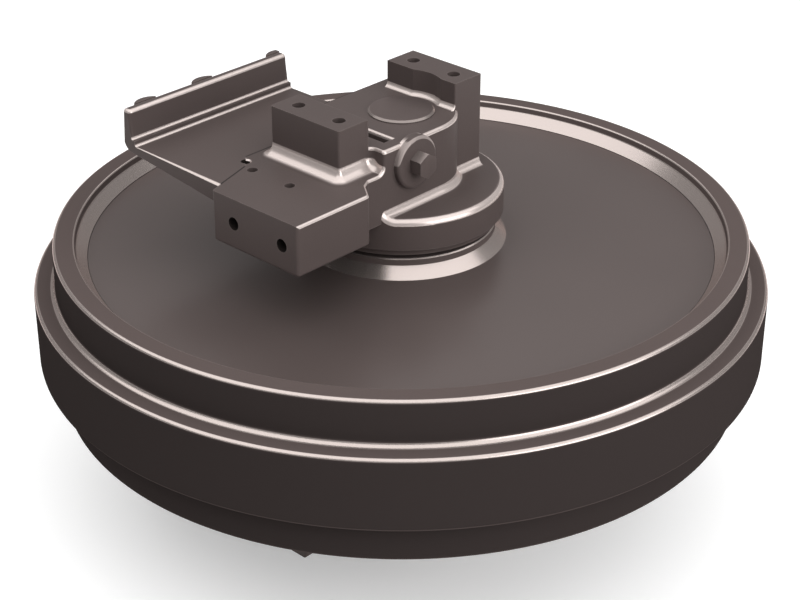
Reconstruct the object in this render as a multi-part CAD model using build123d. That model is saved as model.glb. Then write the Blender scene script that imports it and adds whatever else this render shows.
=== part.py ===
# Front idler of a large mining excavator. Millimetres, lying with its wheel axis upright (+Z).
# Origin: centre of the wheel. X runs along the track, with the yoke blocks at -X.
# The wing plates are at +Y. The two supports are mirror images about the plane z = 0.
import math
import os

from build123d import *

# Wheel rim with its centre flange
flange_radius = 500.0
flange_half_width = 51.0
flange_edge_radius = 4.0
flange_height = 29.0
tread_radius = flange_radius - flange_height
tread_foot_fillet = 9.0
rim_half_width = 113.0
rim_edge_radius = 4.0
rim_lip_wall = 29.3
rim_lip_radius = tread_radius - rim_lip_wall
rim_lip_draft = 1.6
rim_lip_height = 103.5
rim_land_wall = 46.0
rim_bore_radius = tread_radius - rim_land_wall
rim_shell_wall = 28.0
rim_shell_radius = tread_radius - rim_shell_wall
rim_shell_half_width = 55.0

# Two shallow dished webs
web_edge_height = 89.0
web_hub_height = 96.5
web_thickness = 18.0

# Hub with its seal housings and oil chamber
hub_radius = 128.5
hub_half_length = 120.5
hub_foot_radius = 143.5
hub_foot_height = 110.6
hub_land_edge = 1.5
hub_chamber_radius = 86.0
hub_chamber_half_length = 13.0
seal_bore_radius = 114.0
seal_bore_depth = 23.0
seal_bore_chamfer = 2.0

# Flanged bronze bushes
bush_radius = 74.0
bush_flange_radius = 84.0
bush_flange_thickness = 8.0
bush_inner_end = 16.0
bush_groove_radius = 3.0
bush_groove_count = 3
bush_groove_start = 30.0

# Fixed shaft
journal_radius = 60.0
thrust_gap = 0.4
journal_end = hub_half_length - seal_bore_depth + thrust_gap
seat_radius = 55.0
nose_radius = 44.7
nose_length = 19.5
nose_chamfer = 2.5
oil_bore_radius = 8.0
oil_bore_top = 20.0
cross_bore_radius = 6.0

# Face seals: lapped steel rings held by rubber toric rings
seal_gap = 7.5
toric_room = 13.0
seal_ring_neck_radius = seal_bore_radius - toric_room
seal_ring_wall = 10.0
seal_ring_bore = seal_ring_neck_radius - seal_ring_wall
seal_ring_face_width = 7.0
seal_ring_face_radius = seal_ring_neck_radius + seal_ring_face_width
seal_ring_face_thickness = 6.0
seal_ring_height = 19.0
seal_face_relief = 0.8

# Round collar of the support
skirt_radius = 132.0
skirt_bottom = hub_half_length + seal_gap
skirt_height = 8.5
collar_radius = 138.8
collar_height = 44.5
collar_bottom = skirt_bottom + skirt_height
collar_top = collar_bottom + collar_height
collar_edge_radius = 9.0
collar_low_chamfer = 1.2
sleeve_gap = 6.5
sleeve_radius = seal_ring_bore - sleeve_gap

# Body around the shaft
body_height = 94.0
body_top = collar_top + body_height
nose_room = 15.5
body_bolt_face = -75.0
body_wing_face = 92.0
body_front = -111.0
body_back = 101.0
body_back_corner = 16.0
body_edge_radius = 5.0
body_front_edge_radius = 4.0
body_front_foot_fillet = 10.0
body_foot_fillet = 11.0
body_nose_middle = -70.0
body_root_depth = 24.5

# Yoke block, with a slanted wing side and a clipped back corner
block_front = -294.0
block_bolt_face = -105.3
block_drop = 30.8
block_height = 69.7
block_top = body_top - block_drop
block_bottom = block_top - block_height
block_front_wing_y = 47.0
block_slant_x = -217.0
block_slant_y = 70.5
block_step_x = -196.0
block_clip_x = -169.5
block_clip_y = -81.0
block_clip_end_x = -151.0
block_heel_x = -140.0
block_edge_radius = 4.0
block_clip_radius = 8.0
block_low_corner_radius = 4.0
block_corner_radius = 4.0
ledge_edge_radius = 3.0

# Two posts that carry the guide plate
post_height = 37.5
post_top = body_top + post_height
post_bolt_face = -50.5
post_wing_face = 73.0
mid_post_front = -167.2
mid_post_back = -115.7
mid_post_foot_fillet = 18.0
mid_post_corner_radius = 3.0
rear_post_front = 50.0
rear_post_notch_radius = 56.0
rear_post_foot_fillet = 8.0
rear_post_corner_radius = 2.0

# Cast pocket in the top of the body
pocket_front = -91.5
pocket_back = -74.0
pocket_low_y = -56.0
pocket_high_y = 60.0
pocket_depth = 13.0
pocket_edge_radius = 5.0

# Tapped holes of the interfaces
guide_hole_radius = 8.75
guide_hole_depth = 42.0
guide_hole_x = (-141.5, 74.5)
guide_hole_y = (-25.5, 47.5)
yoke_hole_radius = 8.75
yoke_hole_depth = 48.0
yoke_hole_drop = 34.2
yoke_hole_height = block_top - yoke_hole_drop
yoke_hole_y = (-77.2, 9.8)
cover_hole_radius = 7.0
cover_hole_depth = 32.0
cover_hole_x = -218.0
cover_hole_y = (-13.0, 55.5)

# Lock bolt that crosses the edge of the shaft
lock_x = -57.0
lock_drop = 30.0
lock_height = body_top - lock_drop
boss_radius = 36.0
boss_height = 9.0
boss_edge_radius = 4.5
lock_head_flats = 30.0
lock_head_height = 18.0
lock_head_chamfer = 1.0
lock_shank_radius = 10.0
lock_thread_start = 22.0
lock_end = 62.0
lock_point_chamfer = 2.0
lock_hole_radius = 10.5

# Wing plate with its upturned flange
wing_front = -275.5
wing_back = 7.0
wing_outer_face = 241.0
wing_inner_face = 226.0
wing_flange_height = 49.3
wing_flange_top = block_top + wing_flange_height
wing_seam_thickness = 27.2
wing_bottom_seam = block_top - wing_seam_thickness
wing_bottom_seam_y = 70.0
wing_edge_thickness = 10.8
wing_bottom_edge = block_top - wing_edge_thickness
wing_bottom_edge_y = 216.0
wing_bend_radius = 14.0
wing_step_width = 6.5
wing_step_height = 8.0
wing_step_fillet = 3.0
wing_edge_radius = 3.5
wing_front_edge_radius = 2.5
wing_seam_chamfer = 0.8
relief_radius = 5.5
relief_sink = 2.5
relief_depth = 28.0

# Half-round wear ribs, upright on the outer face of the wing's flange
rib_radius = 24.5
rib_proud = 8.5
rib_length = 44.0
rib_drop = 0.5
rib_top = wing_flange_top - rib_drop
rib_bottom = rib_top - rib_length
rib_edge_chamfer = 1.0
rib_x = (-236.5, -137.0, -0.5)

# Rubber O-rings on the shaft
o_ring_section_radius = 2.7
o_ring_drop = 11.0
o_ring_height = collar_top - o_ring_drop
o_ring_groove_width = 7.0

# Oil plug in the lower end of the shaft
plug_head_radius = 15.0
plug_thread_radius = 10.5
plug_head_height = 8.0
plug_head_chamfer = 1.0
plug_thread_length = 18.0
plug_socket_flats = 10.0
plug_socket_depth = 6.0
plug_washer_thickness = 1.5

# Lengths by which cutters run past a face and joined solids run into each other
overrun = 1.0
overlap = 5.0

# Clearances between parts
running_clearance = 0.08
seat_clearance = 0.05
seat_end_clearance = 0.5
thread_clearance = 0.05
thread_run_out = 4.0
rubber_clearance = 0.05
shaft_notch_clearance = 0.3


def upright(radius, low, high):
    """Upright cylinder on the wheel axis between two heights."""
    return Pos(0, 0, (low + high) / 2) * Cylinder(radius, high - low)


def block_between(x_range, y_range, z_range):
    """Box given by its limits along each axis."""
    centre = [sum(limits) / 2 for limits in (x_range, y_range, z_range)]
    sizes = [limits[1] - limits[0] for limits in (x_range, y_range, z_range)]
    return Pos(*centre) * Box(*sizes)


def along_y(radius, x, z, start, end):
    """Cylinder along Y through the point x, z."""
    return Pos(x, (start + end) / 2, z) * Rot(90, 0, 0) * Cylinder(radius, end - start)


def prism(points, low, high):
    """Upright prism on a plan outline."""
    outline = make_face(Polyline(*points, close=True))
    return Pos(0, 0, low) * extrude(outline, high - low)


def turned(points):
    """Solid of revolution about the wheel axis from points of radius and height."""
    outline = make_face(Polyline(*[(r, 0, z) for r, z in points], close=True))
    return revolve(outline, Axis.Z)


def ring(inner, outer, low, high):
    """Upright ring on the wheel axis."""
    return turned([(inner, low), (outer, low), (outer, high), (inner, high)])


def edges_at(part, points):
    """The edge of a part that lies nearest to each of the given points."""
    chosen = []
    for point in points:
        spot = Vertex(*point)
        nearest = min(part.edges(), key=lambda edge: edge.distance_to(spot))
        if not any(nearest.is_same(edge) for edge in chosen):
            chosen.append(nearest)
    return chosen


def rounded(part, points, radius):
    """Fillet on the edges that lie nearest to the given points."""
    return fillet(edges_at(part, points), radius)


def bevelled(part, points, size):
    """Chamfer on the edges that lie nearest to the given points."""
    return chamfer(edges_at(part, points), size)


def flipped(part):
    """Mirror image of an upper part for the lower side of the wheel."""
    return mirror(part, about=Plane.XY)


# Rolled rim: two treads, the centre flange, a lip each side and the lands of the webs
def make_rim():
    land_low = web_edge_height - web_thickness
    upper = [
        (rim_shell_radius, 0),
        (rim_shell_radius, rim_shell_half_width),
        (rim_bore_radius, land_low),
        (rim_bore_radius, web_edge_height),
        (rim_lip_radius - rim_lip_draft, rim_lip_height),
        (rim_lip_radius, rim_half_width),
        (tread_radius, rim_half_width),
        (tread_radius, flange_half_width),
        (flange_radius, flange_half_width),
    ]
    lower = [(r, -z) for r, z in reversed(upper) if z > 0]
    rim = turned(upper + lower)
    for side in (1, -1):
        shoulder = side * flange_half_width
        rim = rounded(rim, [(0, tread_radius, shoulder)], tread_foot_fillet)
        rim = rounded(rim, [(0, flange_radius, shoulder)], flange_edge_radius)
        rim = rounded(rim, [(0, tread_radius, side * rim_half_width)], rim_edge_radius)
    return rim


# Dished web welded between the hub's land and the rim's land
def make_web():
    return turned([
        (hub_foot_radius, web_hub_height),
        (rim_bore_radius, web_edge_height),
        (rim_bore_radius, web_edge_height - web_thickness),
        (hub_foot_radius, web_hub_height - web_thickness),
    ])


seal_bore_floor = hub_half_length - seal_bore_depth
seat_end = body_top - nose_room
nose_end = seat_end + nose_length
bush_flange_floor = seal_bore_floor - bush_flange_thickness


# Hub: land and sloped foot for each web, bush seats, oil chamber, seal bores
def make_hub():
    upper = [
        (hub_chamber_radius, 0),
        (hub_chamber_radius, hub_chamber_half_length),
        (bush_radius + seat_clearance, hub_chamber_half_length),
        (bush_radius + seat_clearance, bush_flange_floor),
        (bush_flange_radius + seat_clearance, bush_flange_floor),
        (bush_flange_radius + seat_clearance, seal_bore_floor),
        (seal_bore_radius, seal_bore_floor),
        (seal_bore_radius, hub_half_length - seal_bore_chamfer),
        (seal_bore_radius + seal_bore_chamfer, hub_half_length),
        (hub_radius - hub_land_edge, hub_half_length),
        (hub_radius, hub_half_length - hub_land_edge),
        (hub_radius, hub_foot_height),
        (hub_foot_radius, web_hub_height),
        (hub_foot_radius, web_hub_height - web_thickness),
        (hub_radius, web_hub_height - web_thickness),
    ]
    lower = [(r, -z) for r, z in reversed(upper) if z > 0]
    return turned(upper + lower)


# Bronze bush with a thrust flange and oil grooves along its bore
def make_bush():
    bore = journal_radius + running_clearance
    bush = turned([
        (bore, bush_inner_end),
        (bush_radius, bush_inner_end),
        (bush_radius, bush_flange_floor),
        (bush_flange_radius, bush_flange_floor),
        (bush_flange_radius, seal_bore_floor),
        (bore, seal_bore_floor),
    ])
    groove = Pos(bore, 0, (bush_inner_end + bush_flange_floor) / 2)
    groove = groove * Cylinder(bush_groove_radius, bush_flange_floor - bush_inner_end)
    for step in range(bush_groove_count):
        bush = bush - Rot(0, 0, 360 / bush_groove_count * step + bush_groove_start) * groove
    return bush


seal_plane = (hub_half_length + skirt_bottom) / 2


# Steel seal ring: a neck for the toric ring and a wide lapped face
def make_seal_ring(direction):
    face = seal_plane
    back = seal_plane + direction * seal_ring_height
    shoulder = seal_plane + direction * seal_ring_face_thickness
    relief = seal_plane + direction * seal_face_relief
    inner_land = (seal_ring_bore + seal_ring_neck_radius) / 2
    return turned([
        (seal_ring_bore, relief),
        (inner_land, relief),
        (inner_land, face),
        (seal_ring_face_radius, face),
        (seal_ring_face_radius, shoulder),
        (seal_ring_neck_radius, shoulder),
        (seal_ring_neck_radius, back),
        (seal_ring_bore, back),
    ])


# Rubber ring squeezed between the neck of a seal ring and the bore around it
def make_toric(direction):
    section = (seal_bore_radius - seal_ring_neck_radius) / 2
    middle = (seal_ring_face_thickness + seal_ring_height) / 2
    centre = seal_ring_neck_radius + section
    height = seal_plane + direction * middle
    return Pos(0, 0, height) * Torus(centre, section - rubber_clearance)


# Cutter along Y for a bolt-wide notch or hole at the lock bolt's line
def lock_line(radius, start, end):
    return along_y(radius, lock_x, lock_height, start, end)


# Fixed shaft with seats, oil bores, ring grooves and the notches of the lock bolts
def make_shaft():
    half = [
        (journal_radius, journal_end),
        (seat_radius, journal_end),
        (seat_radius, seat_end),
        (nose_radius, seat_end),
        (nose_radius, nose_end - nose_chamfer),
        (nose_radius - nose_chamfer, nose_end),
    ]
    other = [(r, -z) for r, z in reversed(half)]
    shaft = turned([(0, nose_end)] + half[::-1] + other[::-1] + [(0, -nose_end)])
    section = o_ring_section_radius
    groove_floor = seat_radius + seat_clearance - 2 * section - 2 * rubber_clearance
    half_groove = o_ring_groove_width / 2
    groove_low = o_ring_height - half_groove
    groove = ring(groove_floor, seat_radius + overrun, groove_low, o_ring_height + half_groove)
    notch = lock_line(lock_shank_radius + shaft_notch_clearance, -seat_radius, seat_radius)
    for cut in (groove, notch):
        shaft = shaft - cut - flipped(cut)
    shaft = shaft - upright(oil_bore_radius, -nose_end - overrun, oil_bore_top)
    tapped = plug_thread_radius + thread_clearance
    tapped_end = plug_thread_length + thread_run_out - nose_end
    shaft = shaft - upright(tapped, -nose_end - overrun, tapped_end)
    cross_bore = Rot(0, 90, 0) * Cylinder(cross_bore_radius, 2 * (journal_radius + overrun))
    return shaft - cross_bore


# Rubber ring in each groove of the shaft
def make_o_ring():
    centre = seat_radius + seat_clearance - o_ring_section_radius - rubber_clearance
    return Pos(0, 0, o_ring_height) * Torus(centre, o_ring_section_radius)


# Plan of the body: flat bolt face, round nose about the shaft, post side and wing face
def body_plan():
    turn_x = math.sqrt(body_bolt_face ** 2 - post_bolt_face ** 2)
    middle = math.radians(body_nose_middle)
    radius = -body_bolt_face
    nose = ThreePointArc(
        (0, body_bolt_face),
        (radius * math.cos(middle), radius * math.sin(middle)),
        (turn_x, post_bolt_face),
    )
    corner = body_back_corner
    rest = Polyline(
        (turn_x, post_bolt_face),
        (body_back, post_bolt_face),
        (body_back, body_wing_face - corner),
        (body_back - corner, body_wing_face),
        (body_front, body_wing_face),
        (body_front, body_bolt_face),
        (0, body_bolt_face),
    )
    return make_face(nose + rest)


# Plan of the yoke block, from its clipped back corner round to the slanted wing side
def block_plan():
    inside = body_front + 2 * overlap
    return [
        (block_front, block_bolt_face),
        (block_clip_x, block_bolt_face),
        (block_clip_end_x, block_clip_y),
        (block_heel_x, body_bolt_face),
        (inside, body_bolt_face),
        (inside, body_wing_face),
        (block_step_x, body_wing_face),
        (block_slant_x, block_slant_y),
        (block_front, block_front_wing_y),
    ]


# Prism on the block's plan with its two front corners rounded off
def block_corners():
    corners = prism(block_plan(), block_bottom, block_top)
    at_bolt_face = (block_front, block_bolt_face, yoke_hole_height)
    at_wing_side = (block_front, block_front_wing_y, yoke_hole_height)
    return rounded(corners, [at_bolt_face, at_wing_side], block_corner_radius)


# Outside of the support casting, with its cast fillets and rounded edges
def bracket_outside():
    collar = upright(collar_radius, collar_bottom, collar_top)
    low = collar_top - body_root_depth
    body = Pos(0, 0, low) * extrude(body_plan(), body_top - low)
    block = prism(block_plan(), block_bottom, block_top)
    block = rounded(block, [(block_clip_x, block_bolt_face, yoke_hole_height)], block_clip_radius)
    block_middle = (block_front + block_clip_x) / 2
    block = rounded(block, [(block_middle, block_bolt_face, block_top)], block_edge_radius)
    block = block & block_corners()
    post_y = (post_bolt_face, post_wing_face)
    mid_post = block_between((mid_post_front, mid_post_back), post_y, (low, post_top))
    mid_post_corners = [(mid_post_front, y, post_top - overlap) for y in post_y]
    mid_post = rounded(mid_post, mid_post_corners, mid_post_corner_radius)
    neck_x = (mid_post_back - overrun, body_front + overrun)
    neck = block_between(neck_x, post_y, (low, body_top))
    rear_post = block_between((rear_post_front, body_back), post_y, (low, post_top))
    rear_post = rear_post - upright(rear_post_notch_radius, body_top, post_top + overrun)
    solid = collar + body + block + mid_post + neck + rear_post
    post_middle = (mid_post_front + body_front) / 2
    solid = rounded(
        solid,
        [
            (mid_post_front, 0, block_top),
            (post_middle, post_bolt_face, block_top),
            (post_middle, post_wing_face, block_top),
        ],
        mid_post_foot_fillet,
    )
    solid = rounded(
        solid,
        [
            (body_front, body_bolt_face + 2, block_top),
            (body_front, post_bolt_face, body_top - 2),
        ],
        body_front_foot_fillet,
    )
    solid = rounded(
        solid,
        [
            (rear_post_front, post_bolt_face + overlap, body_top),
            (rear_post_notch_radius, 0, body_top),
            (rear_post_front, post_wing_face - overlap, body_top),
        ],
        rear_post_foot_fillet,
    )
    slope = -body_bolt_face * math.sqrt(0.5)
    solid = rounded(
        solid,
        [
            (body_front / 2, body_bolt_face, collar_top),
            (slope, -slope, collar_top),
            ((rear_post_front + body_back) / 2, post_bolt_face, collar_top),
        ],
        body_foot_fillet,
    )
    solid = rounded(solid, [(0, -collar_radius, collar_top)], collar_edge_radius)
    solid = rounded(
        solid,
        [(body_front / 2, body_bolt_face, body_top), (slope, -slope, body_top)],
        body_edge_radius,
    )
    front_edge = (body_front, body_bolt_face, body_top - body_edge_radius - overrun)
    solid = rounded(solid, [front_edge], body_front_edge_radius)
    heel = (block_heel_x, body_bolt_face, block_top)
    hollow = (body_front - overlap, body_bolt_face, block_top + overlap)
    solid = rounded(solid, [(heel[0] + overlap, heel[1], heel[2]), hollow], ledge_edge_radius)
    slant_middle = ((block_front + block_slant_x) / 2, (block_front_wing_y + block_slant_y) / 2)
    solid = rounded(solid, [(*slant_middle, block_bottom)], block_low_corner_radius)
    rear_corner = (rear_post_front, post_bolt_face, post_top - overlap)
    solid = rounded(solid, [rear_corner], rear_post_corner_radius)
    return bevelled(solid, [(0, -collar_radius, collar_bottom)], collar_low_chamfer)


# Cutter for the countersunk hole at the corner of the seam between casting and wing plate
def seam_relief():
    sink = Cone(relief_radius, relief_radius + 2 * relief_sink, 2 * relief_sink)
    hole = upright(relief_radius, block_top - relief_depth, block_top)
    corner_x = (block_slant_x + block_step_x) / 2
    corner_y = (block_slant_y + body_wing_face) / 2
    return Pos(corner_x, corner_y, 0) * (hole + Pos(0, 0, block_top) * sink)


boss_face = body_bolt_face - boss_height


# Support casting: yoke block, body, collar, two posts, seal housing and all its holes
def make_bracket():
    bracket = bracket_outside()
    bracket = bracket + upright(skirt_radius, skirt_bottom, collar_bottom + overlap)
    bracket = bracket + along_y(
        boss_radius, lock_x, lock_height, boss_face, body_bolt_face + overlap
    )
    boss_side = (lock_x, boss_face, lock_height - boss_radius)
    bracket = rounded(bracket, [boss_side], boss_edge_radius)
    pocket = block_between(
        (pocket_front, pocket_back), (pocket_low_y, pocket_high_y), (body_top - pocket_depth, post_top)
    )
    bracket = bracket - pocket
    bracket = rounded(bracket, [(pocket_back, 0, body_top)], pocket_edge_radius)
    housing_floor = skirt_bottom + seal_bore_depth
    housing = ring(0, seal_bore_radius, skirt_bottom - overrun, housing_floor)
    bracket = bracket - housing + upright(sleeve_radius, journal_end, housing_floor + overrun)
    seat_bore = upright(
        seat_radius + seat_clearance, journal_end - overrun, seat_end + seat_end_clearance
    )
    nose_bore = upright(nose_radius + seat_clearance, seat_end, body_top + overrun)
    bracket = bracket - seat_bore - nose_bore
    bracket = bracket - lock_line(lock_hole_radius, boss_face - overrun, lock_thread_start)
    thread_radius = lock_shank_radius + thread_clearance
    bracket = bracket - lock_line(thread_radius, lock_thread_start - overrun, lock_end + thread_run_out)
    for x in guide_hole_x:
        for y in guide_hole_y:
            hole = upright(guide_hole_radius, post_top - guide_hole_depth, post_top + overrun)
            bracket = bracket - Pos(x, y, 0) * hole
    for y in cover_hole_y:
        hole = upright(cover_hole_radius, block_top - cover_hole_depth, block_top + overrun)
        bracket = bracket - Pos(cover_hole_x, y, 0) * hole
    for y in yoke_hole_y:
        hole = Rot(0, 90, 0) * Cylinder(yoke_hole_radius, 2 * yoke_hole_depth)
        bracket = bracket - Pos(block_front, y, yoke_hole_height) * hole
    return bracket - seam_relief()


# Bent wing plate: tapered web, small step, upturned flange; it meets the casting edge to edge
def make_wing():
    top = block_top
    slope = (wing_bottom_edge - wing_bottom_seam) / (wing_bottom_edge_y - wing_bottom_seam_y)
    inner_y = block_front_wing_y - overlap
    section = [
        (inner_y, wing_bottom_seam + slope * (inner_y - wing_bottom_seam_y)),
        (wing_outer_face, wing_bottom_seam + slope * (wing_outer_face - wing_bottom_seam_y)),
        (wing_outer_face, wing_flange_top),
        (wing_inner_face, wing_flange_top),
        (wing_inner_face, top + wing_step_height),
        (wing_inner_face - wing_step_width, top + wing_step_height),
        (wing_inner_face - wing_step_width, top),
        (inner_y, top),
    ]
    outline = make_face(Polyline(*[(wing_front, y, z) for y, z in section], close=True))
    plate = extrude(outline, amount=wing_back - wing_front, dir=(1, 0, 0))
    middle = (wing_front + wing_back) / 2
    bend_z = wing_bottom_seam + slope * (wing_outer_face - wing_bottom_seam_y)
    plate = rounded(plate, [(middle, wing_outer_face, bend_z)], wing_bend_radius)
    step_y = wing_inner_face - wing_step_width
    step_feet = [(middle, step_y, top), (middle, wing_inner_face, top + wing_step_height)]
    plate = rounded(plate, step_feet, wing_step_fillet)
    wing_flange_low = (top + wing_flange_top) / 2
    flange_edges = [
        (middle, wing_inner_face, wing_flange_top),
        (middle, wing_outer_face, wing_flange_top),
        (wing_front, wing_inner_face, wing_flange_low),
        (wing_front, wing_outer_face, wing_flange_low),
        (wing_back, wing_inner_face, wing_flange_low),
        (wing_back, wing_outer_face, wing_flange_low),
    ]
    plate = rounded(plate, flange_edges, wing_edge_radius)
    front_middle = (wing_front, (block_front_wing_y + wing_inner_face) / 2, top)
    plate = rounded(plate, [front_middle], wing_front_edge_radius)
    casting_side = [
        (block_front, 0),
        (block_front, block_front_wing_y),
        (block_slant_x, block_slant_y),
        (block_step_x, body_wing_face),
        (wing_back + overrun, body_wing_face),
        (wing_back + overrun, 0),
    ]
    plate = plate - prism(casting_side, block_bottom, post_top)
    slant_middle = ((wing_front + block_slant_x) / 2, (block_front_wing_y + block_slant_y) / 2)
    plate = bevelled(plate, [(*slant_middle, top), (middle, body_wing_face, top)], wing_seam_chamfer)
    return plate - seam_relief()


# Half-round wear ribs on the flange; the last one is cut off flush with the flange's end
def make_ribs():
    ribs = []
    centre_y = wing_outer_face + rib_proud - rib_radius
    for x in rib_x:
        bar = bevelled(
            upright(rib_radius, rib_bottom, rib_top),
            [(0, rib_radius, rib_top), (0, rib_radius, rib_bottom)],
            rib_edge_chamfer,
        )
        outside = block_between(
            (x - rib_radius, min(x + rib_radius, wing_back)),
            (wing_outer_face, wing_outer_face + rib_proud),
            (rib_bottom, rib_top),
        )
        ribs.append(Pos(x, centre_y, 0) * bar & outside)
    return Compound(children=ribs)


# Six-sided prism along -Y with a corner up, from a start plane
def hexagon_along_y(flats, x, z, start, length):
    corner = flats / math.sqrt(3)
    points = []
    for step in range(6):
        angle = math.radians(90 + 60 * step)
        points.append((x + corner * math.cos(angle), start, z + corner * math.sin(angle)))
    outline = make_face(Polyline(*points, close=True))
    return extrude(outline, amount=length, dir=(0, -1, 0))


# Lock bolt with its chamfered head and point
def make_lock_bolt():
    corner = lock_head_flats / math.sqrt(3)
    front = boss_face - lock_head_height
    head = hexagon_along_y(lock_head_flats, lock_x, lock_height, boss_face, lock_head_height)
    turning = along_y(corner, lock_x, lock_height, front, boss_face)
    turning = bevelled(turning, [(lock_x, front, lock_height - corner)], lock_head_chamfer)
    shank = lock_line(lock_shank_radius, boss_face - overrun, lock_end)
    tip = (lock_x, lock_end, lock_height - lock_shank_radius)
    shank = bevelled(shank, [tip], lock_point_chamfer)
    return (head & turning) + shank


plug_seat = -nose_end - plug_washer_thickness


# Screwed oil plug with a hexagon socket
def make_plug():
    low = plug_seat - plug_head_height
    head = upright(plug_head_radius, low, plug_seat)
    head = bevelled(head, [(0, plug_head_radius, low)], plug_head_chamfer)
    thread = upright(plug_thread_radius, plug_seat - overrun, plug_seat + plug_thread_length)
    socket = Pos(0, 0, low) * extrude(
        RegularPolygon(plug_socket_flats / 2, 6, major_radius=False), plug_socket_depth
    )
    return head + thread - socket


# Sealing ring under the plug's head
def make_plug_washer():
    return ring(plug_thread_radius + thread_clearance, plug_head_radius, plug_seat, -nose_end)


def save(part, name):
    """Write one named piece to its own file."""
    part.label = name
    export_step(part, os.path.join("parts", name + ".step"))


# Build every piece; whatever sits above the wheel's middle is mirrored for the lower side
os.makedirs("parts", exist_ok=True)
save(make_rim(), "rim")
save(make_hub(), "hub")
save(make_shaft(), "shaft")
save(make_plug(), "oil_plug")
save(make_plug_washer(), "oil_plug_washer")
paired = {
    "web": make_web(),
    "bush": make_bush(),
    "rotating_seal_ring": make_seal_ring(-1),
    "rotating_toric": make_toric(-1),
    "fixed_seal_ring": make_seal_ring(1),
    "fixed_toric": make_toric(1),
    "shaft_o_ring": make_o_ring(),
    "bracket": make_bracket(),
    "wing_plate": make_wing(),
    "wear_ribs": make_ribs(),
    "lock_bolt": make_lock_bolt(),
}
for piece, upper_part in paired.items():
    save(upper_part, "upper_" + piece)
    save(flipped(upper_part), "lower_" + piece)
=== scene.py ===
import math

import bmesh
import bpy
from mathutils import Euler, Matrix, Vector


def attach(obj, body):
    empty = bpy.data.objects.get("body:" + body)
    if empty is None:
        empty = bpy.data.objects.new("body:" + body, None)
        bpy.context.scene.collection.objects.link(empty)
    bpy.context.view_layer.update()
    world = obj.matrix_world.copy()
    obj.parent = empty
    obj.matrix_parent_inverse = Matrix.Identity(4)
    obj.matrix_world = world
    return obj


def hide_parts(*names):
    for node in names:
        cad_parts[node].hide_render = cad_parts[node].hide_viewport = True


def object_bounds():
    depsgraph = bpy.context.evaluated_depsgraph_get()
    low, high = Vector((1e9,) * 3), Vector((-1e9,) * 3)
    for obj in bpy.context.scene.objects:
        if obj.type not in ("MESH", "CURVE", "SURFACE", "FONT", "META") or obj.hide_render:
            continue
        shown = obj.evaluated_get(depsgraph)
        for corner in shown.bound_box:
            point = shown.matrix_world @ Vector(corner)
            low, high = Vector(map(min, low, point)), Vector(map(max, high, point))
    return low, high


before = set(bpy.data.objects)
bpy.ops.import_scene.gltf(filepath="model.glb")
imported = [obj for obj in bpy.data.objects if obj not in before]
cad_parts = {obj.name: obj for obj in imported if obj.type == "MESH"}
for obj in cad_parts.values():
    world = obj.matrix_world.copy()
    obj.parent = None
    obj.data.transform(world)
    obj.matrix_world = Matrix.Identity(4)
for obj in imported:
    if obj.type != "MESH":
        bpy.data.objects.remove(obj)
cad_low, cad_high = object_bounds()


# The wheel: a rolled rim with a centre flange and two treads, two dished webs and a hub tube,
# welded into one. Dark semi-gloss steel with a faint skin; its slopes and fillets that face partly
# upwards carry a painted highlight, and the upright faces of the rim a painted shade.
def new_group(name, kind, inputs, outputs):
    """An empty node group with its sockets; gives it, what comes in and what goes out."""
    group = bpy.data.node_groups.new(name, kind)
    for label, socket_kind, *start in inputs:
        kind_name = "NodeSocket" + socket_kind
        socket = group.interface.new_socket(name=label, in_out="INPUT", socket_type=kind_name)
        if start:
            socket.default_value = start[0]
    for label, socket_kind in outputs:
        kind_name = "NodeSocket" + socket_kind
        group.interface.new_socket(name=label, in_out="OUTPUT", socket_type=kind_name)
    given = group.nodes.new("NodeGroupInput")
    result = group.nodes.new("NodeGroupOutput")
    return group, given.outputs, result.inputs


def node(tree, kind, inputs, **settings):
    """A node with its settings, whose inputs hold values or are linked to other sockets."""
    made = tree.nodes.new(kind)
    for label, value in settings.items():
        setattr(made, label, value)
    for label, value in inputs.items():
        if isinstance(value, bpy.types.NodeSocket):
            tree.links.new(value, made.inputs[label])
        else:
            made.inputs[label].default_value = value
    return made


def maths(tree, kind, *values):
    """The output of a math node on values or sockets."""
    return node(tree, "ShaderNodeMath", dict(enumerate(values)), operation=kind).outputs[0]


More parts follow.
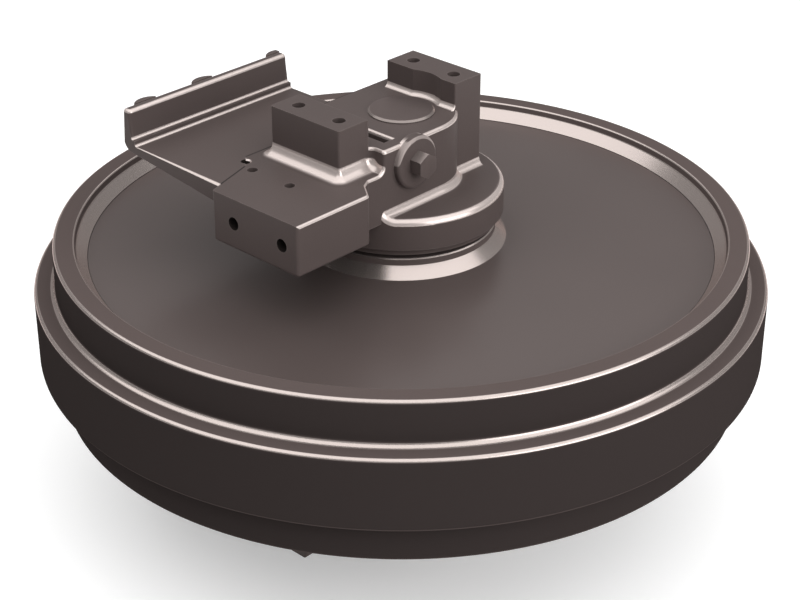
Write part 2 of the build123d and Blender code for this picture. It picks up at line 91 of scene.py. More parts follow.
def casting_skin_group():
    """Soft patches and a fine grain in a steel's colour, roughness and height."""
    group, given, result = new_group(
        "casting_skin",
        "ShaderNodeTree",
        (
            ("Colour", "Color", (0.1, 0.09, 0.09, 1.0)),
            ("Tone Spread", "Float", 0.1),
            ("Roughness", "Float", 0.4),
            ("Roughness Spread", "Float", 0.06),
            ("Patch Scale", "Float", 6.0),
            ("Grain Scale", "Float", 450.0),
            ("Swell Scale", "Float", 28.0),
            ("Swell Share", "Float", 0.5),
        ),
        (("Colour", "Color"), ("Roughness", "Float"), ("Height", "Float")),
    )
    place = group.nodes.new("ShaderNodeTexCoord").outputs["Object"]

    def noise(scale_name, detail):
        inputs = {"Vector": place, "Scale": given[scale_name], "Detail": detail}
        return node(group, "ShaderNodeTexNoise", inputs).outputs["Fac"]

    def swing(value, share):
        """A noise about zero instead of a half, times its share."""
        return maths(group, "MULTIPLY", maths(group, "SUBTRACT", value, 0.5), share)

    patches = swing(noise("Patch Scale", 4.0), 2.0)
    grain = noise("Grain Scale", 2.0)
    swell = noise("Swell Scale", 2.0)
    spread = maths(group, "ADD", patches, swing(grain, 0.7))
    tone = maths(group, "ADD", maths(group, "MULTIPLY", spread, given["Tone Spread"]), 1.0)
    toned = node(group, "ShaderNodeVectorMath", {0: given["Colour"], "Scale": tone}, operation="SCALE")
    group.links.new(toned.outputs[0], result["Colour"])
    rough = maths(group, "MULTIPLY", patches, given["Roughness Spread"])
    group.links.new(maths(group, "ADD", rough, given["Roughness"]), result["Roughness"])
    height = maths(group, "ADD", grain, maths(group, "MULTIPLY", swell, given["Swell Share"]))
    group.links.new(height, result["Height"])
    return group


def worn_edge_group():
    """Edges where the surface turns within the reach, rubbed bright in patches."""
    group, given, result = new_group(
        "worn_edge",
        "ShaderNodeTree",
        (("Reach", "Float", 0.003), ("Amount", "Float", 0.6), ("Break Up Scale", "Float", 60.0)),
        (("Mask", "Float"),),
    )
    rounded = node(group, "ShaderNodeBevel", {"Radius": given["Reach"]}, samples=6)
    surface = group.nodes.new("ShaderNodeNewGeometry")
    normals = {0: rounded.outputs["Normal"], 1: surface.outputs["Normal"]}
    turned = node(group, "ShaderNodeVectorMath", normals, operation="DOT_PRODUCT").outputs["Value"]
    turning = {"Value": turned, "From Min": 0.995, "From Max": 0.90}
    edge = node(group, "ShaderNodeMapRange", turning).outputs["Result"]
    place = group.nodes.new("ShaderNodeTexCoord").outputs["Object"]
    noise = {"Vector": place, "Scale": given["Break Up Scale"], "Detail": 3.0}
    patches = node(group, "ShaderNodeTexNoise", noise).outputs["Fac"]
    breaking = {"Value": patches, "From Min": 0.35, "From Max": 0.65, "To Min": 0.35}
    broken = node(group, "ShaderNodeMapRange", breaking).outputs["Result"]
    mask = maths(group, "MULTIPLY", maths(group, "MULTIPLY", edge, broken), given["Amount"])
    group.links.new(mask, result["Mask"])
    return group


def slope_highlight_group():
    """Painted highlight on faces that look partly upwards, from a normal that rises by Low to one that
    rises by High.
    """
    group, given, result = new_group(
        "slope_highlight",
        "ShaderNodeTree",
        (
            ("Amount", "Float", 1.0),
            ("Low", "Float", 0.10),
            ("Low Full", "Float", 0.32),
            ("High Full", "Float", 0.92),
            ("High", "Float", 0.985),
        ),
        (("Mask", "Float"),),
    )
    normal = group.nodes.new("ShaderNodeTexCoord").outputs["Normal"]
    up = node(group, "ShaderNodeSeparateXYZ", {0: normal}).outputs["Z"]

    def between(none, full):
        inputs = {"Value": up, "From Min": given[none], "From Max": given[full]}
        return node(group, "ShaderNodeMapRange", inputs, interpolation_type="SMOOTHSTEP").outputs["Result"]

    both = maths(group, "MULTIPLY", between("Low", "Low Full"), between("High", "High Full"))
    group.links.new(maths(group, "MULTIPLY", both, given["Amount"]), result["Mask"])
    return group


def from_axis(group):
    """The point on the surface with its height taken away."""
    place = group.nodes.new("ShaderNodeTexCoord").outputs["Object"]
    flatten = {0: place, 1: (1.0, 1.0, 0.0)}
    return node(group, "ShaderNodeVectorMath", flatten, operation="MULTIPLY").outputs[0]


def rim_wall_shade_and_seam_group():
    """Painted shade on upright faces beyond a radius from the axis, and a dark line at the web's seam."""
    group, given, result = new_group(
        "rim_wall_shade_and_seam",
        "ShaderNodeTree",
        (
            ("Inner Radius", "Float", 0.46),
            ("Seam Radius", "Float", 0.425),
            ("Seam Half Width", "Float", 0.0006),
            ("Amount", "Float", 1.0),
        ),
        (("Mask", "Float"), ("Dull", "Float")),
    )
    reach = node(group, "ShaderNodeVectorMath", {0: from_axis(group)}, operation="LENGTH")
    radius = reach.outputs["Value"]
    outside = maths(group, "GREATER_THAN", radius, given["Inner Radius"])
    normal = group.nodes.new("ShaderNodeTexCoord").outputs["Normal"]
    rise = maths(group, "ABSOLUTE", node(group, "ShaderNodeSeparateXYZ", {0: normal}).outputs["Z"])
    uprightness = {"Value": rise, "From Min": 0.55, "From Max": 0.15}
    steep = node(group, "ShaderNodeMapRange", uprightness, interpolation_type="SMOOTHSTEP")
    # Painted shade on the upright faces
    shaded_walls = maths(group, "MULTIPLY", outside, steep.outputs["Result"])
    seam = maths(group, "COMPARE", radius, given["Seam Radius"], given["Seam Half Width"])
    mask = maths(group, "MULTIPLY", maths(group, "MAXIMUM", shaded_walls, seam), given["Amount"])
    group.links.new(mask, result["Mask"])
    group.links.new(mask, result["Dull"])
    return group


casting_skin = casting_skin_group()
worn_edge = worn_edge_group()
slope_highlight = slope_highlight_group()
rim_wall_shade_and_seam = rim_wall_shade_and_seam_group()
wear_and_highlight_roughness = 0.24
mean_skin_height = 0.75


def steel_finish(
    name, colour, wear_and_highlight_colour, skin, edge, slope, roughness, metallic, bump, gloss=0.12, bright=0.55,
    dark=None, dark_colour=None
):
    """A steel with a grainy skin: skin, edge and slope give values for the skin, worn edge and slope
    highlight groups, and worn edges and the painted highlight on slopes take the paler colour; bright is
    how metallic they are, and dark is a group with its values whose Mask takes dark_colour and whose Dull
    keeps places from being bright."""
    made = bpy.data.materials.new(name)
    made.use_nodes = True
    tree = made.node_tree
    shader = tree.nodes["Principled BSDF"]
    shader.inputs["Specular Tint"].default_value = (1.0, 0.85, 0.82, 1.0)
    shader.inputs["Specular IOR Level"].default_value = gloss

    def placed(group, values):
        return node(tree, "ShaderNodeGroup", values, node_tree=group).outputs

    def mixed(kind, factor, first, second):
        inputs = {"Factor": factor, "A": first, "B": second}
        return node(tree, "ShaderNodeMix", inputs, data_type=kind).outputs["Result"]

    grain = placed(casting_skin, {"Colour": (*colour, 1.0), "Roughness": roughness, **skin})
    body_colour = grain["Colour"]
    # Worn edges, and the painted highlight on slopes that face partly upwards, take the paler colour
    wear_and_highlight = maths(tree, "MAXIMUM", placed(worn_edge, edge)["Mask"], placed(slope_highlight, slope)["Mask"])
    # The dark group's Mask paints shade, or dark joint lines, in dark_colour
    if dark is not None:
        where = placed(*dark)
        body_colour = mixed("RGBA", where["Mask"], body_colour, (*dark_colour, 1.0))
        wear_and_highlight = maths(tree, "SUBTRACT", wear_and_highlight, where["Dull"])
        wear_and_highlight.node.use_clamp = True
    tree.links.new(mixed("RGBA", wear_and_highlight, body_colour, (*wear_and_highlight_colour, 1.0)), shader.inputs["Base Color"])
    tree.links.new(mixed("FLOAT", wear_and_highlight, grain["Roughness"], wear_and_highlight_roughness), shader.inputs["Roughness"])
    tree.links.new(mixed("FLOAT", wear_and_highlight, metallic, max(metallic, bright)), shader.inputs["Metallic"])
    swing = maths(tree, "SUBTRACT", grain["Height"], mean_skin_height)
    height = maths(tree, "MULTIPLY", swing, maths(tree, "SUBTRACT", 1.0, wear_and_highlight))
    relief = node(tree, "ShaderNodeBump", {"Distance": bump, "Height": height})
    tree.links.new(relief.outputs["Normal"], shader.inputs["Normal"])
    return made


def put_on(material, *node_names):
    """Gives the CAD nodes of those names this material."""
    for node_name in node_names:
        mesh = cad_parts[node_name].data
        mesh.materials.clear()
        mesh.materials.append(material)


# Painted shade on the rim's upright faces beyond the inner radius, and a dark line at the webs' seam
painted_wall_shade_and_seam = {
    "dark": (rim_wall_shade_and_seam, {"Inner Radius": 0.455}),
    "dark_colour": (0.040, 0.032, 0.0307),
}
wheel_steel = steel_finish(
    "wheel_steel",
    colour=(0.098, 0.077, 0.073),
    wear_and_highlight_colour=(0.50, 0.435, 0.41),
    skin={"Tone Spread": 0.08, "Patch Scale": 5.0, "Swell Scale": 22.0},
    edge={"Reach": 0.003, "Amount": 0.10},
    slope={"Low": 0.30, "Low Full": 0.50},
    roughness=0.42,
    metallic=0.0,
    bump=0.00006,
    gloss=0.0,
    bright=0.85,
    **painted_wall_shade_and_seam,
)
put_on(wheel_steel, "rim", "hub")
# The webs are plainer and shinier than the rim and mirror more of the room
web_steel = steel_finish(
    "web_steel",
    colour=(0.079, 0.062, 0.0585),
    wear_and_highlight_colour=(0.50, 0.435, 0.41),
    skin={"Tone Spread": 0.08, "Patch Scale": 5.0, "Swell Scale": 22.0},
    edge={"Reach": 0.003, "Amount": 0.10},
    slope={},
    roughness=0.30,
    metallic=0.0,
    bump=0.00004,
    gloss=0.45,
    **painted_wall_shade_and_seam,
)
put_on(web_steel, "upper_web", "lower_web")


def turned_body_tree():
    """Rounds the corners of the outline in the object's mesh and turns it once about +Z."""
    tree, given, result = new_group(
        "turned_body",
        "GeometryNodeTree",
        (
            ("Outline", "Geometry"),
            ("Turning Radius", "Float"),
            ("Steps Round", "Int"),
            ("Corner Steps", "Int"),
            ("Finish", "Material"),
        ),
        (("Body", "Geometry"),),
    )
    outline = node(tree, "GeometryNodeMeshToCurve", {"Mesh": given["Outline"]}).outputs["Curve"]
    rounding = node(tree, "GeometryNodeInputNamedAttribute", {"Name": "rounding"}, data_type="FLOAT")
    rounded = {"Curve": outline, "Count": given["Corner Steps"], "Radius": rounding.outputs["Attribute"]}
    profile = node(tree, "GeometryNodeFilletCurve", rounded, mode="POLY").outputs["Curve"]
    round_trip = {"Radius": given["Turning Radius"], "Resolution": given["Steps Round"]}
    circle = node(tree, "GeometryNodeCurvePrimitiveCircle", round_trip).outputs["Curve"]
    turned = node(tree, "GeometryNodeCurveToMesh", {"Curve": circle, "Profile Curve": profile})
    whole = node(tree, "GeometryNodeRealizeInstances", {"Geometry": turned.outputs["Mesh"]})
    paint = {"Geometry": whole.outputs["Geometry"], "Material": given["Finish"]}
    tree.links.new(node(tree, "GeometryNodeSetMaterial", paint).outputs["Geometry"], result["Body"])
    return tree


def evenly_shaded(piece, smooth_angle=24.0):
    """Smooth roundings between flat faces that stay flat."""
    piece.data.shade_smooth()
    piece.data.set_sharp_from_angle(angle=math.radians(smooth_angle))
    even = piece.modifiers.new("even", "WEIGHTED_NORMAL")
    even.weight = 100
    even.keep_sharp = True
    graph = bpy.context.evaluated_depsgraph_get()
    piece.data = bpy.data.meshes.new_from_object(piece.evaluated_get(graph), depsgraph=graph)
    piece.modifiers.clear()


def grown(seed_object, tree, values):
    """Runs a tree on an object and leaves its result as a plain mesh with clean shading."""
    grow = seed_object.modifiers.new("grow", "NODES")
    grow.node_group = tree
    for item in tree.interface.items_tree:
        if item.item_type == "SOCKET" and item.in_out == "INPUT" and item.name in values:
            grow[item.identifier] = values[item.name]
    graph = bpy.context.evaluated_depsgraph_get()
    made = bpy.data.meshes.new_from_object(seed_object.evaluated_get(graph), depsgraph=graph)
    seed_object.modifiers.clear()
    work = bmesh.new()
    work.from_mesh(made)
    bmesh.ops.remove_doubles(work, verts=work.verts, dist=1e-6)
    bmesh.ops.recalc_face_normals(work, faces=work.faces)
    work.to_mesh(made)
    work.free()
    seed_object.data = made
    evenly_shaded(seed_object)


turning_radius = 0.45
# Upper half of the rim's outline: radius, height and the rounding of the corner, in mm
rim_corners = [
    (443.0, 55.0, 3.0),
    (425.0, 71.0, 0.3),
    (425.0, 89.0, 0.3),
    (440.1, 103.5, 6.0),
    (441.7, 113.0, 3.0),
    (471.0, 113.0, 6.0),
    (471.0, 51.0, 9.0),
    (500.0, 51.0, 6.0),
]
rim_outline = rim_corners + [(radius, -height, corner) for radius, height, corner in reversed(rim_corners)]
rim_mesh = bpy.data.meshes.new("wheel_rim")
rim_mesh.from_pydata(
    [(radius / 1000 - turning_radius, -height / 1000, 0.0) for radius, height, corner in rim_outline],
    [(step, (step + 1) % len(rim_outline)) for step in range(len(rim_outline))],
    [],
)
rim_mesh.attributes.new("rounding", "FLOAT", "POINT").data.foreach_set(
    "value", [corner / 1000 for radius, height, corner in rim_outline]
)
wheel_rim = bpy.data.objects.new("wheel_rim", rim_mesh)
bpy.context.scene.collection.objects.link(wheel_rim)
grown(
    wheel_rim,
    turned_body_tree(),
    {"Turning Radius": turning_radius, "Steps Round": 288, "Corner Steps": 6, "Finish": wheel_steel},
)
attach(wheel_rim, "wheel")
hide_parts("rim")


# The two supports: steel castings with collar, yoke block and guide posts, sand-cast skin
# left on, machined only on the seats, locked on the shaft's ends. Slightly coarser grain than
# the wheel.
relief_x, relief_y = -206.5, 81.25  # middle of the relief hole in the wing plate's seam, in mm


def seam_groove_group():
    """A dark line along the groove between yoke block and wing plate, and painted shade inside its relief
    hole and the yoke bolts' holes; the painted highlight on the rounded edge of the lock bolt's boss is
    only dulled, not darkened."""
    group, given, result = new_group(
        "seam_groove",
        "ShaderNodeTree",
        (
            ("Half Width", "Float", 0.0011),
            ("Relief Radius", "Float", 0.0062),
            ("Yoke Hole Radius", "Float", 0.0089),
            ("Boss Radius", "Float", 0.0366),
            ("Boss Dulling", "Float", 0.6),
            ("Amount", "Float", 1.0),
        ),
        (("Mask", "Float"), ("Dull", "Float")),
    )
    flat = from_axis(group)

    def near_run(start, end):
        """1 within the half width of the straight seam from start to end, 0 elsewhere."""
        run = math.dist(start, end)
        along = ((end[0] - start[0]) / run, (end[1] - start[1]) / run, 0.0)
        across = (-along[1], along[0], 0.0)
        begin = {0: flat, 1: (*start, 0.0)}
        from_start = node(group, "ShaderNodeVectorMath", begin, operation="SUBTRACT").outputs[0]

        def reached(direction):
            inputs = {0: from_start, 1: direction}
            return node(group, "ShaderNodeVectorMath", inputs, operation="DOT_PRODUCT").outputs["Value"]

        on_line, off_line = reached(along), maths(group, "ABSOLUTE", reached(across))
        beside = maths(group, "LESS_THAN", off_line, given["Half Width"])
        begun = maths(group, "GREATER_THAN", on_line, 0.0)
        not_over = maths(group, "LESS_THAN", on_line, run)
        return maths(group, "MULTIPLY", beside, maths(group, "MULTIPLY", begun, not_over))

    def within(first, second, radius):
        """1 where two distances from a hole's axis lie within its radius."""
        squares = maths(group, "ADD", *(maths(group, "MULTIPLY", way, way) for way in (first, second)))
        return maths(group, "LESS_THAN", squares, maths(group, "MULTIPLY", radius, radius))

    slanted = near_run((-0.2755, 0.05265), (-0.217, 0.0705))
    straight = near_run((-0.196, 0.092), (0.007, 0.092))
    dark = maths(group, "MAXIMUM", slanted, straight)
    place = group.nodes.new("ShaderNodeTexCoord").outputs["Object"]
    x, y, z = node(group, "ShaderNodeSeparateXYZ", {0: place}).outputs
    # Painted shade inside the relief hole
    level = maths(group, "ABSOLUTE", z)
    off_x = maths(group, "SUBTRACT", x, relief_x / 1000)
    off_y = maths(group, "SUBTRACT", y, relief_y / 1000)
    dark = maths(group, "MAXIMUM", dark, within(off_x, off_y, given["Relief Radius"]))
    # Painted shade inside the yoke bolts' holes in the block's front
    yoke_face_level, behind_yoke_face = 0.21, -0.24
    off_level = maths(group, "SUBTRACT", level, yoke_face_level)
    in_block = maths(group, "LESS_THAN", x, behind_yoke_face)
    for bolt_y in (-0.0772, 0.0098):
        bolt = within(maths(group, "SUBTRACT", y, bolt_y), off_level, given["Yoke Hole Radius"])
        dark = maths(group, "MAXIMUM", dark, maths(group, "MULTIPLY", bolt, in_block))
    mask = maths(group, "MULTIPLY", dark, given["Amount"])
    group.links.new(mask, result["Mask"])
    boss_x, boss_level, boss_foot_y = -0.057, 0.245, -0.0752
    off_x, off_level = maths(group, "SUBTRACT", x, boss_x), maths(group, "SUBTRACT", level, boss_level)
    boss = within(off_x, off_level, given["Boss Radius"])
    boss = maths(group, "MULTIPLY", boss, maths(group, "LESS_THAN", y, boss_foot_y))
    dulled = maths(group, "MULTIPLY", boss, given["Boss Dulling"])
    group.links.new(maths(group, "MAXIMUM", mask, dulled), result["Dull"])
    return group


seam_groove = seam_groove_group()
# Dark joint lines along the wing plate's seam and painted shade in the holes
joint_lines_and_hole_shade = {"dark": (seam_groove, {}), "dark_colour": (0.02, 0.016, 0.015)}
# Its slopes and fillets that face partly upwards carry a painted highlight
cast_steel = steel_finish(
    "cast_bracket",
    colour=(0.084, 0.0658, 0.0625),
    wear_and_highlight_colour=(0.60, 0.523, 0.495),
    skin={"Tone Spread": 0.10, "Patch Scale": 9.0, "Grain Scale": 380.0, "Swell Scale": 40.0},
    edge={"Reach": 0.0025, "Amount": 0.10},
    slope={"Low": 0.03, "Low Full": 0.16, "High Full": 0.86},
    roughness=0.42,
    metallic=0.0,
    bump=0.00008,
    **joint_lines_and_hole_shade,
)
put_on(cast_steel, "upper_bracket", "lower_bracket")


# The wing plates: rolled plate bent at the top, with three half-round ribs on the outside of
# the flange that rub along the track frame. Smoother than the castings.
# Its slopes and fillets that face partly upwards carry a painted highlight
plate_steel = steel_finish(
    "wing_steel",
    colour=(0.084, 0.0658, 0.0625),
    wear_and_highlight_colour=(0.60, 0.523, 0.495),
    skin={"Tone Spread": 0.08, "Patch Scale": 7.0, "Grain Scale": 600.0, "Swell Scale": 18.0},
    edge={"Reach": 0.002, "Amount": 0.10},
    slope={},
    roughness=0.42,
    metallic=0.0,
    bump=0.00005,
    **joint_lines_and_hole_shade,
)
put_on(plate_steel, "upper_wing_plate", "lower_wing_plate", "upper_wear_ribs", "lower_wear_ribs")


def solid_from(outline, along, start, end):
    """A closed solid from an outline in mm, pushed from start to end along X or Z."""
    work = bmesh.new()
    rings = []
    for level in (start, end):
        if along == "X":
            corners = [(level, first, second) for first, second in outline]
        else:
            corners = [(first, second, level) for first, second in outline]
        rings.append([work.verts.new([value / 1000 for value in corner]) for corner in corners])
    work.faces.new(rings[0])
    work.faces.new(rings[1])
    for step in range(len(outline)):
        after = (step + 1) % len(outline)
        work.faces.new((rings[0][step], rings[0][after], rings[1][after], rings[1][step]))
    bmesh.ops.recalc_face_normals(work, faces=work.faces)
    mesh = bpy.data.meshes.new("solid")
    work.to_mesh(mesh)
    work.free()
    return mesh


def less(piece, cutter_mesh):
    """Takes a cutter's shape away from a piece."""
    cutter = bpy.data.objects.new("cutter", cutter_mesh)
    bpy.context.scene.collection.objects.link(cutter)
    cut = piece.modifiers.new("cut", "BOOLEAN")
    cut.operation = "DIFFERENCE"
    cut.object = cutter
    cut.solver = "EXACT"
    graph = bpy.context.evaluated_depsgraph_get()
    piece.data = bpy.data.meshes.new_from_object(piece.evaluated_get(graph), depsgraph=graph)
    piece.modifiers.clear()
    bpy.data.objects.remove(cutter)


def edges_on(work, start, end):
    """Edges of a mesh that lie on the straight line between two points in mm."""
    slack = 2e-5
    first = Vector(start) / 1000
    run = Vector(end) / 1000 - first
    length = run.length
    run.normalize()

    def lies_on(spot):
        reach = (spot - first).dot(run)
        off = (spot - first - run * reach).length
        return off < slack and -slack < reach < length + slack

    return [edge for edge in work.edges if all(lies_on(vert.co) for vert in edge.verts)]


# Faces and levels of the wing plate, in mm
wing_front, wing_back = -275.5, 7.0
plate_edge, step_face, inner_face, outer_face = 42.0, 219.5, 226.0, 241.0
plate_top, step_top, flange_top = 244.2, 252.2, 293.5
plate_edge_bottom, bend_bottom, bend_top = 213.855, 236.209, 240.0
wing_section = [
    (plate_edge, plate_edge_bottom),
    (outer_face, bend_bottom),
    (outer_face, flange_top),
    (inner_face, flange_top),
    (inner_face, step_top),
    (step_face, step_top),
    (step_face, plate_top),
    (plate_edge, plate_top),
]
# What is cut from it: the side of the casting that it is welded to, and a round relief hole
casting_side = [(-294.0, 0.0), (-294.0, 47.0), (-217.0, 70.5), (-196.0, 92.0), (20.0, 92.0), (20.0, 0.0)]
relief_radius, relief_steps = 5.5, 24
relief_turns = [math.radians(360 / relief_steps * step) for step in range(relief_steps)]
relief_hole = [
    (relief_x + relief_radius * math.cos(turn), relief_y + relief_radius * math.sin(turn))
    for turn in relief_turns
]


def along_plate(y, z):
    return (wing_front, y, z), (wing_back, y, z)


def flange_upright(x, y, foot):
    return (x, y, foot), (x, y, flange_top)


def across_flange(x):
    return (x, inner_face, flange_top), (x, outer_face, flange_top)


# Radius of each rounding and the edges that it goes on
wing_roundings = [
    (14.0, [along_plate(outer_face, bend_bottom)]),
    (3.8, [along_plate(step_face, plate_top), along_plate(inner_face, step_top)]),
    (
        5.5,
        [
            along_plate(inner_face, flange_top),
            along_plate(outer_face, flange_top),
            across_flange(wing_front),
            across_flange(wing_back),
            flange_upright(wing_front, inner_face, step_top),
            flange_upright(wing_back, inner_face, step_top),
            flange_upright(wing_front, outer_face, bend_top),
            flange_upright(wing_back, outer_face, bend_top),
        ],
    ),
    (4.0, [((wing_front, plate_edge, plate_top), (wing_front, step_face, plate_top))]),
]
# Levels where the cutters begin and end
below_plate, relief_floor, above_plate = 170.0, 216.2, 330.0
for side, turn in (("upper", 1), ("lower", -1)):
    plate = bpy.data.objects.new(side + "_wing", solid_from(wing_section, "X", wing_front, wing_back))
    bpy.context.scene.collection.objects.link(plate)
    less(plate, solid_from(casting_side, "Z", below_plate, above_plate))
    less(plate, solid_from(relief_hole, "Z", relief_floor, above_plate))
    work = bmesh.new()
    work.from_mesh(plate.data)
    bmesh.ops.remove_doubles(work, verts=work.verts, dist=1e-6)
    bmesh.ops.dissolve_limit(work, angle_limit=0.002, verts=work.verts, edges=work.edges)
    for radius, lines in wing_roundings:
        chosen = [edge for start, end in lines for edge in edges_on(work, start, end)]
        bmesh.ops.bevel(work, geom=chosen, offset=radius / 1000, segments=5, profile=0.5, affect="EDGES")
    if turn < 0:
        bmesh.ops.scale(work, vec=(1.0, 1.0, -1.0), verts=work.verts)
    bmesh.ops.recalc_face_normals(work, faces=work.faces)
    work.to_mesh(plate.data)
    work.free()
    plate.data.materials.clear()
    plate.data.materials.append(plate_steel)
    evenly_shaded(plate)
    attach(plate, "support")
    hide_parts(side + "_wing_plate")


def rib_row_tree():
    """A half-round rib upwards from each vertex of the object's mesh, cut at the flange's end."""
    tree, given, result = new_group(
        "rib_row",
        "GeometryNodeTree",
        (
            ("Seats", "Geometry"),
            ("Rib Radius", "Float"),
            ("Proud", "Float"),
            ("Length", "Float"),
            ("Edge", "Float"),
            ("Flange End", "Float"),
            ("Arc Steps", "Int"),
            ("Finish", "Material"),
        ),
        (("Ribs", "Geometry"),),
    )

    def placed(x, y, z):
        return node(tree, "ShaderNodeCombineXYZ", {0: x, 1: y, 2: z}).outputs[0]

    # The half-round section, its flat side on the flange
    sunk = maths(tree, "SUBTRACT", given["Rib Radius"], given["Proud"])
    half_angle = maths(tree, "ARCCOSINE", maths(tree, "DIVIDE", sunk, given["Rib Radius"]))
    sweep = {
        "Resolution": given["Arc Steps"],
        "Radius": given["Rib Radius"],
        "Start Angle": maths(tree, "SUBTRACT", math.pi / 2, half_angle),
        "Sweep Angle": maths(tree, "MULTIPLY", half_angle, 2.0),
    }
    arc = node(tree, "GeometryNodeCurveArc", sweep).outputs["Curve"]
    closed = node(tree, "GeometryNodeSetSplineCyclic", {0: arc, "Cyclic": True}).outputs[0]
    lowered = {"Geometry": closed, "Translation": placed(0.0, maths(tree, "MULTIPLY", sunk, -1.0), 0.0)}
    section = node(tree, "GeometryNodeTransform", lowered).outputs["Geometry"]
    # Four rings along the rib: both ends a little narrower than the two in the middle
    stem = node(tree, "GeometryNodeCurvePrimitiveLine", {"End": placed(0.0, 0.0, given["Length"])})
    rings = node(tree, "GeometryNodeResampleCurve", {"Curve": stem.outputs["Curve"], "Count": 4})
    index = tree.nodes.new("GeometryNodeInputIndex").outputs[0]
    upper = maths(tree, "GREATER_THAN", index, 1.5)
    lower = maths(tree, "SUBTRACT", 1.0, upper)
    middle = maths(tree, "LESS_THAN", maths(tree, "ABSOLUTE", maths(tree, "SUBTRACT", index, 1.5)), 1.0)
    low_ring = maths(tree, "MULTIPLY", given["Edge"], middle)
    high_ring = maths(tree, "SUBTRACT", given["Length"], low_ring)
    upper_level = maths(tree, "MULTIPLY", upper, high_ring)
    level = maths(tree, "ADD", upper_level, maths(tree, "MULTIPLY", lower, low_ring))
    spaced = {"Geometry": rings.outputs["Curve"], "Position": placed(0.0, 0.0, level)}
    path = node(tree, "GeometryNodeSetPosition", spaced).outputs["Geometry"]
    narrow = maths(tree, "SUBTRACT", 1.0, maths(tree, "DIVIDE", given["Edge"], given["Proud"]))
    at_end = maths(tree, "MULTIPLY", maths(tree, "SUBTRACT", 1.0, middle), narrow)
    width = maths(tree, "ADD", middle, at_end)
    taper = node(tree, "GeometryNodeSetCurveRadius", {"Curve": path, "Radius": width}).outputs["Curve"]
    swept = {"Curve": taper, "Profile Curve": section, "Fill Caps": True}
    rib = node(tree, "GeometryNodeCurveToMesh", swept).outputs["Mesh"]
    repeated = {"Points": given["Seats"], "Instance": rib}
    row = node(tree, "GeometryNodeInstanceOnPoints", repeated).outputs["Instances"]
    whole = node(tree, "GeometryNodeRealizeInstances", {"Geometry": row}).outputs["Geometry"]
    # What stands past the flange's end is cut off
    block_length = 0.2
    block = node(tree, "GeometryNodeMeshCube", {"Size": (block_length, 2.0, 2.0)}).outputs["Mesh"]
    block_x = maths(tree, "ADD", given["Flange End"], block_length / 2)
    moved = {"Geometry": block, "Translation": placed(block_x, 0.0, 0.0)}
    past_end = node(tree, "GeometryNodeTransform", moved).outputs["Geometry"]
    cutting = {"Mesh 1": whole, "Mesh 2": past_end}
    cut = node(tree, "GeometryNodeMeshBoolean", cutting, operation="DIFFERENCE").outputs["Mesh"]
    again = node(tree, "GeometryNodeRealizeInstances", {"Geometry": cut}).outputs["Geometry"]
    paint = {"Geometry": again, "Material": given["Finish"]}
    tree.links.new(node(tree, "GeometryNodeSetMaterial", paint).outputs["Geometry"], result["Ribs"])
    return tree


rib_row = rib_row_tree()
rib_places = (-0.2365, -0.137, -0.0005)
flange_face = outer_face / 1000
rib_foot, rib_length = 0.249, 0.044
for side, lowest in (("upper", rib_foot), ("lower", -rib_foot - rib_length)):
    seats = bpy.data.meshes.new(side + "_rib_row")
    seats.from_pydata([(x, flange_face, lowest) for x in rib_places], [], [])
    ribs = bpy.data.objects.new(side + "_rib_row", seats)
    bpy.context.scene.collection.objects.link(ribs)
    grown(
        ribs,
        rib_row,
        {
            "Rib Radius": 0.0245,
            "Proud": 0.0085,
            "Length": rib_length,
            "Edge": 0.001,
            "Flange End": wing_back / 1000,
            "Arc Steps": 21,
            "Finish": plate_steel,
        },
    )
    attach(ribs, "support")
    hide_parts(side + "_wear_ribs")


# The lock bolts, screwed through the supports across the edge of the shaft, and the oil plug in
# the shaft's lower end: forged hexagon heads of bare dark steel.
# Upward-facing slopes of the heads carry a weaker painted highlight
bolt_steel = steel_finish(
    "fastener_steel",
    colour=(0.13, 0.105, 0.10),
    wear_and_highlight_colour=(0.30, 0.26, 0.245),
    skin={"Tone Spread": 0.10, "Patch Scale": 30.0, "Grain Scale": 900.0, "Swell Scale": 90.0},
    edge={"Reach": 0.0015, "Amount": 0.2},
    slope={"Amount": 0.6},
    roughness=0.32,
    metallic=0.5,
    bump=0.00008,
)
put_on(bolt_steel, "upper_lock_bolt", "lower_lock_bolt", "oil_plug")


# The shaft: turned and ground steel, fixed in the supports, its chamfered ends a little proud of
# their outer faces. Only the upper end shows.
# Upward-facing slopes of the shaft's end carry a weaker painted highlight
shaft_steel = steel_finish(
    "shaft_steel",
    colour=(0.12, 0.097, 0.093),
    wear_and_highlight_colour=(0.30, 0.26, 0.245),
    skin={"Tone Spread": 0.08, "Patch Scale": 12.0, "Grain Scale": 700.0, "Swell Scale": 60.0},
    edge={"Reach": 0.002, "Amount": 0.2},
    slope={"Amount": 0.8},
    roughness=0.34,
    metallic=0.45,
    bump=0.00008,
)
put_on(shaft_steel, "shaft")


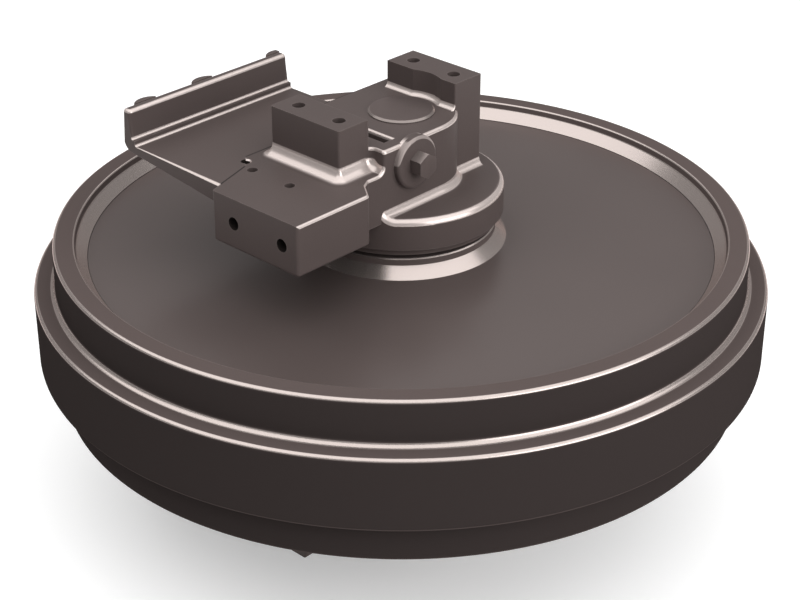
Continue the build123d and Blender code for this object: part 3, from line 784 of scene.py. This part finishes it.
# The seals between wheel and supports: two lapped steel rings on each side, each carried by a
# rubber ring, and an O-ring of rubber between each support and the shaft. Hidden inside.
seal_steel = steel_finish(
    "seal_steel",
    colour=(0.42, 0.41, 0.40),
    wear_and_highlight_colour=(0.55, 0.54, 0.53),
    skin={"Tone Spread": 0.06, "Patch Scale": 25.0, "Grain Scale": 1200.0, "Swell Scale": 80.0},
    edge={"Reach": 0.001, "Amount": 0.4},
    slope={"Amount": 0.0},
    roughness=0.22,
    metallic=1.0,
    bump=0.00003,
)
put_on(
    seal_steel,
    "upper_rotating_seal_ring",
    "lower_rotating_seal_ring",
    "upper_fixed_seal_ring",
    "lower_fixed_seal_ring",
)
seal_rubber = steel_finish(
    "seal_rubber",
    colour=(0.022, 0.022, 0.023),
    wear_and_highlight_colour=(0.05, 0.05, 0.05),
    skin={"Tone Spread": 0.15, "Patch Scale": 40.0, "Grain Scale": 1500.0, "Swell Scale": 120.0},
    edge={"Reach": 0.001, "Amount": 0.0},
    slope={"Amount": 0.0},
    roughness=0.6,
    metallic=0.0,
    bump=0.00005,
)
put_on(
    seal_rubber,
    "upper_rotating_toric",
    "lower_rotating_toric",
    "upper_fixed_toric",
    "lower_fixed_toric",
    "upper_shaft_o_ring",
    "lower_shaft_o_ring",
)


# The bushes, machined from bronze and pressed in the hub, and the soft aluminium washer under
# the oil plug's head. The bushes are hidden inside.
bronze = steel_finish(
    "bronze",
    colour=(0.55, 0.36, 0.16),
    wear_and_highlight_colour=(0.70, 0.50, 0.26),
    skin={"Tone Spread": 0.08, "Patch Scale": 20.0, "Grain Scale": 900.0, "Swell Scale": 60.0},
    edge={"Reach": 0.001, "Amount": 0.4},
    slope={"Amount": 0.0},
    roughness=0.3,
    metallic=1.0,
    bump=0.00004,
)
put_on(bronze, "upper_bush", "lower_bush")
soft_aluminium = steel_finish(
    "plug_washer",
    colour=(0.55, 0.55, 0.56),
    wear_and_highlight_colour=(0.7, 0.7, 0.7),
    skin={"Tone Spread": 0.05, "Patch Scale": 60.0, "Grain Scale": 1500.0, "Swell Scale": 120.0},
    edge={"Reach": 0.0008, "Amount": 0.4},
    slope={"Amount": 0.0},
    roughness=0.35,
    metallic=1.0,
    bump=0.00003,
)
put_on(soft_aluminium, "oil_plug_washer")


# The floor: a plain white studio floor under the lower support's posts. Seen by the camera or
# in a mirroring face it is lighter than where it only throws light back, and keeps the shadow.
floor_reach = 20.0
floor_level = cad_low.z
floor_mesh = bpy.data.meshes.new("floor")
floor_mesh.from_pydata(
    [(x * floor_reach, y * floor_reach, floor_level) for x, y in ((-1, -1), (1, -1), (1, 1), (-1, 1))],
    [],
    [(0, 1, 2, 3)],
)
floor = bpy.data.objects.new("floor", floor_mesh)
bpy.context.scene.collection.objects.link(floor)
floor_paint = bpy.data.materials.new("floor_paint")
floor_paint.use_nodes = True
floor_tree = floor_paint.node_tree
floor_shader = floor_tree.nodes["Principled BSDF"]
floor_shader.inputs["Roughness"].default_value = 0.9
rays = floor_tree.nodes.new("ShaderNodeLightPath").outputs
mirrored = maths(floor_tree, "MAXIMUM", rays["Is Glossy Ray"], rays["Is Transmission Ray"])
seen = maths(floor_tree, "MAXIMUM", rays["Is Camera Ray"], mirrored)
tones = {"Factor": seen, "A": (0.5, 0.5, 0.5, 1.0), "B": (0.9, 0.9, 0.9, 1.0)}
floor_tone = node(floor_tree, "ShaderNodeMix", tones, data_type="RGBA").outputs["Result"]
floor_tree.links.new(floor_tone, floor_shader.inputs["Base Color"])
floor_shader.inputs["Emission Color"].default_value = (1.0, 1.0, 1.0, 1.0)
floor_tree.links.new(maths(floor_tree, "MULTIPLY", seen, 0.3), floor_shader.inputs["Emission Strength"])
floor_mesh.materials.append(floor_paint)


# The light: one wide soft panel under the ceiling on the camera's side, a smaller one on the
# right for the upright walls, a high one behind for the back, and an even room.
def soft_panel(name, azimuth, reach, height, width, depth, strength, aimed=True):
    """A rectangular lamp that is aimed at the part, or else looks straight down."""
    lamp = bpy.data.lights.new(name, "AREA")
    lamp.shape = "RECTANGLE"
    lamp.size = width
    lamp.size_y = depth
    lamp.energy = strength * math.pi * width * depth
    holder = bpy.data.objects.new(name, lamp)
    turn = math.radians(azimuth)
    tilt = math.atan2(reach, height) if aimed else 0.0
    holder.location = (reach * math.cos(turn), reach * math.sin(turn), height)
    holder.rotation_euler = (tilt, 0.0, turn + math.pi / 2)
    bpy.context.scene.collection.objects.link(holder)


soft_panel(
    "ceiling_panel", azimuth=-145.0, reach=1.6, height=4.0, width=13.0, depth=7.6, strength=1.45,
    aimed=False
)
soft_panel("right_panel", azimuth=-85.0, reach=5.0, height=1.6, width=5.0, depth=3.0, strength=3.3)
soft_panel("back_panel", azimuth=43.0, reach=5.0, height=4.6, width=8.0, depth=2.2, strength=0.9)
room = bpy.data.worlds.new("room")
bpy.context.scene.world = room
room.use_nodes = True
room_light = room.node_tree.nodes["Background"]
room_light.inputs["Color"].default_value = (1.0, 1.0, 1.0, 1.0)
room_light.inputs["Strength"].default_value = 0.3


# The camera: placed as in the photograph, with a long lens. Its place and turn come from a fit
# of the circles of flange, treads and hub.
camera_data = bpy.data.cameras.new("camera")
camera_data.lens = 86.4353
camera_data.sensor_width = 36.0
camera = bpy.data.objects.new("camera", camera_data)
camera.location = (-1.713804, -1.615007, 1.269164)
camera.rotation_euler = Euler((1.07314439, -0.00101144, -0.81395023), "XYZ")
bpy.context.scene.collection.objects.link(camera)
bpy.context.scene.camera = camera

bpy.context.scene.view_settings.view_transform = "Standard"
